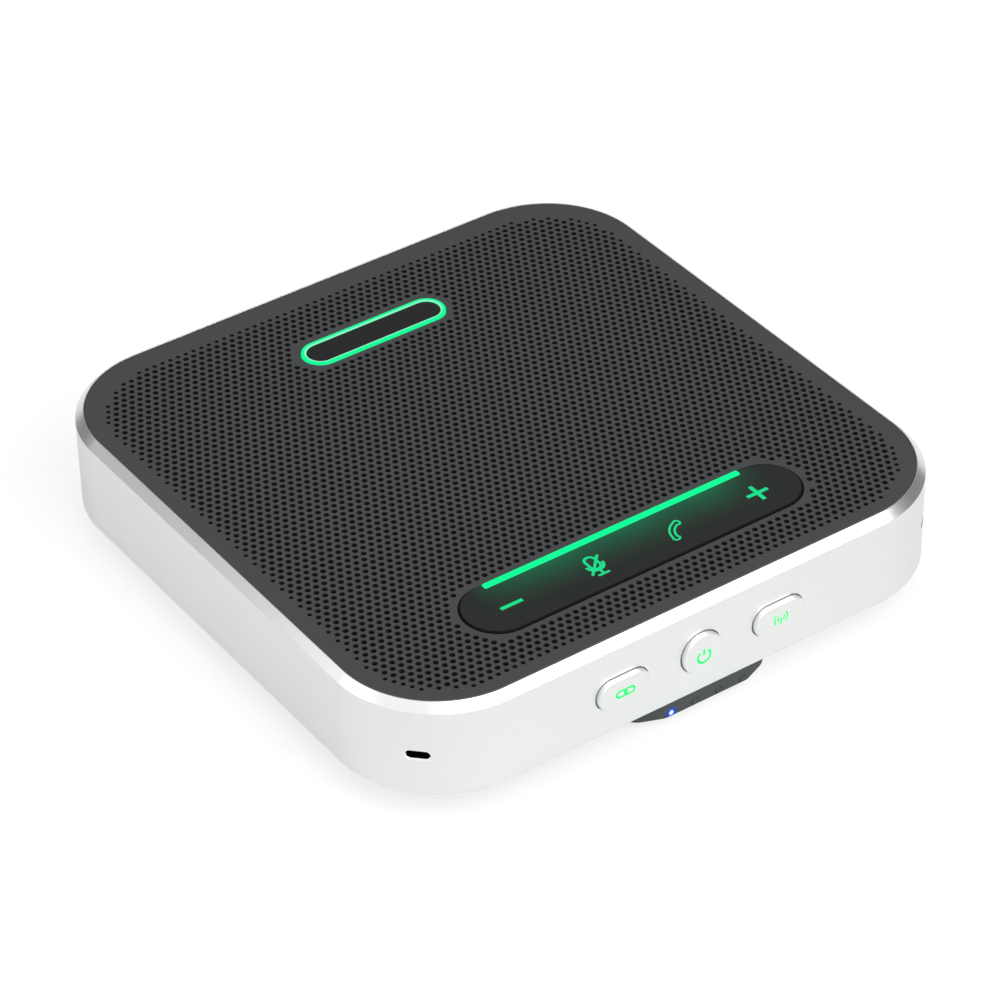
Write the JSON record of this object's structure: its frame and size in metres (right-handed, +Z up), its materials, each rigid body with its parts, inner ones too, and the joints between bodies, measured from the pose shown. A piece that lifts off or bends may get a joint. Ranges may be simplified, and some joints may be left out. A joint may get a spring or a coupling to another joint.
{
  "type": "conference speakerphone",
  "caption": "Square tabletop speakerphone with a perforated top, lit touch panel, side push keys and a sealed loudspeaker, for hands-free calls.",
  "frame": {"origin": "middle of the body at the rubber pad's lower face, on the table", "axes": "+Z up, +X to the right along the front wall, +Y towards the back; the wall with the push keys faces -Y"},
  "size_m": [0.145, 0.1462, 0.0303],
  "materials": {
    "satin_aluminium": "silver, fine bead-blasted and anodised",
    "plate_paint": "dark grey satin coat",
    "scrim_fabric": "black open weave",
    "lens_black": "smoked black gloss",
    "green_light": "green light guide",
    "badge_grey": "dark grey, bare",
    "cover_plastic": "dark grey, fine texture",
    "black_plastic": "black",
    "pad_rubber": "matt black",
    "blue_light": "lit light pipe",
    "light_pipe": "smoked clear",
    "led_package": "white package",
    "circuit_board": "green solder mask",
    "steel_parts": "bright tinned",
    "zinc_steel": "zinc plated",
    "gasket_foam": "closed-cell foam",
    "basket_paint": "black",
    "ferrite": "dark grey ferrite",
    "coil_copper": "enamelled copper wire",
    "cone_paper": "black pressed pulp",
    "spider_cloth": "resin-treated cotton",
    "battery_wrap": "grey-blue shrink wrap"
  },
  "bodies": {
    "body": {"acoustic_scrim": "scrim_fabric", "badge_board": "circuit_board", "badge_carrier": "black_plastic", "badge_plate": "badge_grey", "badge_ring": "green_light", "battery": "battery_wrap", "battery_light_lit": "blue_light", "battery_lights_dark": "light_pipe", "board_chips": "black_plastic", "board_screws": "zinc_steel", "bottom_cover": "cover_plastic", "chin_board": "circuit_board", "chin_leds": "led_package", "cover_screws": "zinc_steel", "driver_screws": "zinc_steel", "key_board": "circuit_board", "lid_screws": "zinc_steel", "light_strip": "green_light", "main_board": "circuit_board", "mic_boards": "circuit_board", "mic_boots": "pad_rubber", "mic_capsules": "steel_parts", "port_shell": "steel_parts", "port_tongue": "black_plastic", "radio_shield": "steel_parts", "rubber_pad": "pad_rubber", "side_frame": "satin_aluminium", "speaker_basket": "basket_paint", "speaker_gasket": "gasket_foam", "speaker_lid": "black_plastic", "speaker_magnet": "ferrite", "speaker_spider": "spider_cloth", "speaker_surround": "pad_rubber", "speaker_top_plate": "zinc_steel", "speaker_tub": "black_plastic", "speaker_yoke": "zinc_steel", "switch_bodies": "black_plastic", "top_plate": "plate_paint", "touch_board": "circuit_board", "touch_carrier": "black_plastic", "touch_lens": "lens_black"},
    "link_key": {"link_button": "satin_aluminium", "link_switch_plunger": "black_plastic"},
    "power_key": {"power_button": "satin_aluminium", "power_switch_plunger": "black_plastic"},
    "pairing_key": {"pairing_button": "satin_aluminium", "pairing_switch_plunger": "black_plastic"},
    "cone": {"speaker_cone": "cone_paper", "dust_cap": "cone_paper", "voice_coil": "coil_copper"}
  },
  "joints": [
    {"name": "link_press", "type": "slide", "parent": "body", "child": "link_key", "axis": [0, 1, 0], "range_m": [0, 0.0005], "stiffness_N_per_m": 2000},
    {"name": "power_press", "type": "slide", "parent": "body", "child": "power_key", "axis": [0, 1, 0], "range_m": [0, 0.0005], "stiffness_N_per_m": 2000},
    {"name": "pairing_press", "type": "slide", "parent": "body", "child": "pairing_key", "axis": [0, 1, 0], "range_m": [0, 0.0005], "stiffness_N_per_m": 2000},
    {"name": "cone_stroke", "type": "slide", "parent": "body", "child": "cone", "axis": [0, 0, 1], "range_m": [-0.0008, 0.0008], "stiffness_N_per_m": 1200, "deforming": ["speaker_surround", "speaker_spider"]}
  ]
}
